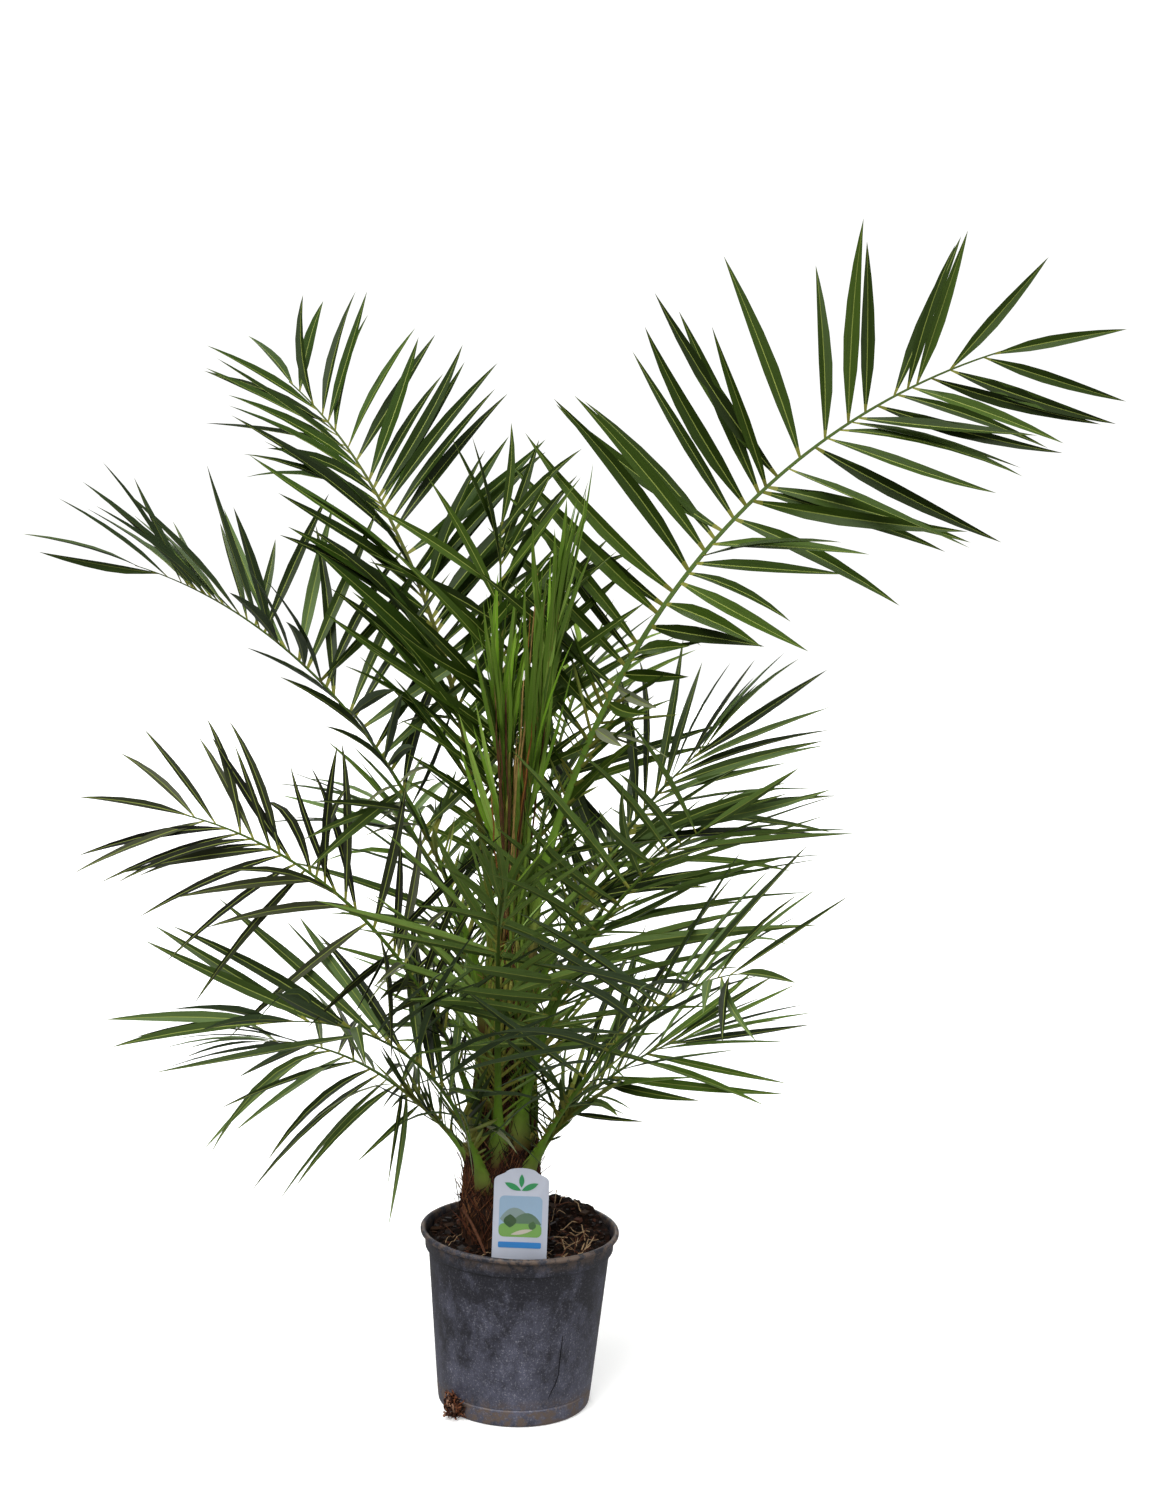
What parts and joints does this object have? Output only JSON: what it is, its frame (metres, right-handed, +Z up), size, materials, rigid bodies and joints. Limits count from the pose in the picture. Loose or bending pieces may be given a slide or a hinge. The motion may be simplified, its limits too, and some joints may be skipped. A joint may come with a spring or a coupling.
{
  "type": "potted young date palm",
  "caption": "Young date palm with arching feathery fronds on a short fibrous trunk, growing in a round dark plastic nursery pot filled with soil, with a plant label.",
  "frame": {"origin": "centre of the pot's flat underside", "axes": "+Z up the trunk, +X to the plant's right, -Y to the front where the label stands"},
  "size_m": [1.2803, 0.9401, 1.4314],
  "materials": {
    "pot_plastic": "matte black plastic, dusty",
    "potting_soil": "moist dark compost with bark",
    "root_fibre": "dry reddish-brown root fibre",
    "trunk_fibre": "matte brown fibre and old leaf bases",
    "label_plastic": "smooth white plastic with a plain print",
    "palm_leaf": "leathery green leaf with a soft sheen",
    "spear_leaf": "young bright-green leaf"
  },
  "bodies": {
    "root": {"pot": "pot_plastic", "soil": "potting_soil", "root_tuft": "root_fibre", "trunk": "trunk_fibre", "plant_label": "label_plastic", "spear_unopened": "spear_leaf", "spear_young": "spear_leaf", "frond_top_right": "palm_leaf", "frond_top_left": "palm_leaf", "frond_back_tall": "palm_leaf", "frond_left_upper": "palm_leaf", "frond_right_back": "palm_leaf", "frond_back_upper": "palm_leaf", "frond_left_middle": "palm_leaf", "frond_right_middle": "palm_leaf", "frond_front": "palm_leaf", "frond_back_left": "palm_leaf", "frond_back_right": "palm_leaf", "frond_left_front": "palm_leaf", "frond_right_front": "palm_leaf", "frond_left_low": "palm_leaf", "frond_right_low": "palm_leaf", "frond_back_low": "palm_leaf"}
  },
  "joints": []
}
